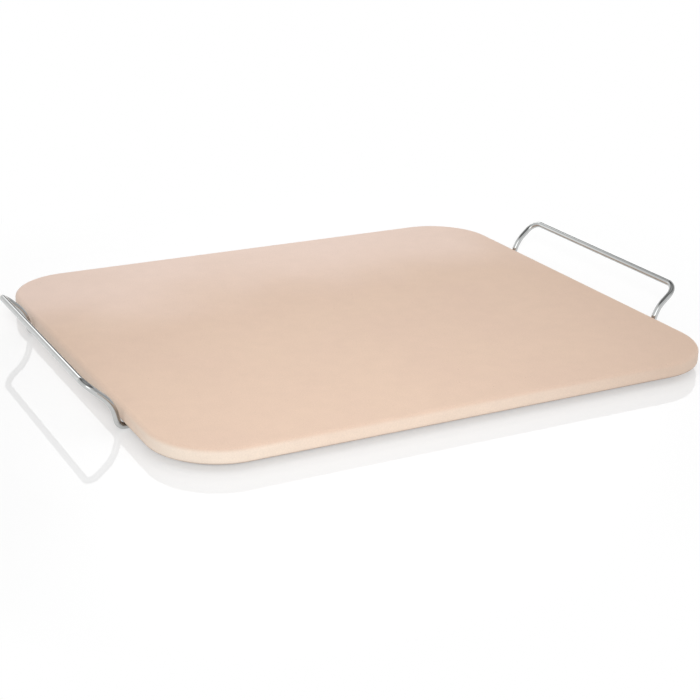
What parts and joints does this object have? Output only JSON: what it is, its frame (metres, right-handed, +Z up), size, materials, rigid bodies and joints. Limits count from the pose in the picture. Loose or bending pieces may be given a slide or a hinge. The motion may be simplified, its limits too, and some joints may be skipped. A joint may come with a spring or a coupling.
{
  "type": "pizza stone",
  "caption": "Rectangular baking stone with round corners, resting loose on a low chromed wire rack with a raised handle at each short end.",
  "frame": {"origin": "on the surface the rack stands on, under the middle of the stone", "axes": "+X along the stone's length towards the right handle, -Y is the front long side, +Z up"},
  "size_m": [0.45, 0.35, 0.035],
  "materials": {
    "fired_stone": "unglazed, matt, fine-grained pinkish beige",
    "chromed_wire": "bright plated wire",
    "chromed_weld": "plated over a ground weld, slightly duller than the wire"
  },
  "bodies": {
    "rack": {"left_handle": "chromed_wire", "right_handle": "chromed_wire", "front_rail": "chromed_wire", "rear_rail": "chromed_wire", "left_cross_wire": "chromed_wire", "right_cross_wire": "chromed_wire", "butt_welds": "chromed_weld", "cross_wire_welds": "chromed_weld"},
    "stone": {"baking_stone": "fired_stone"}
  },
  "joints": [
    {"name": "stone_lift", "type": "slide", "parent": "rack", "child": "stone", "axis": [0, 0, 1], "range_m": [0, 0.05]}
  ]
}
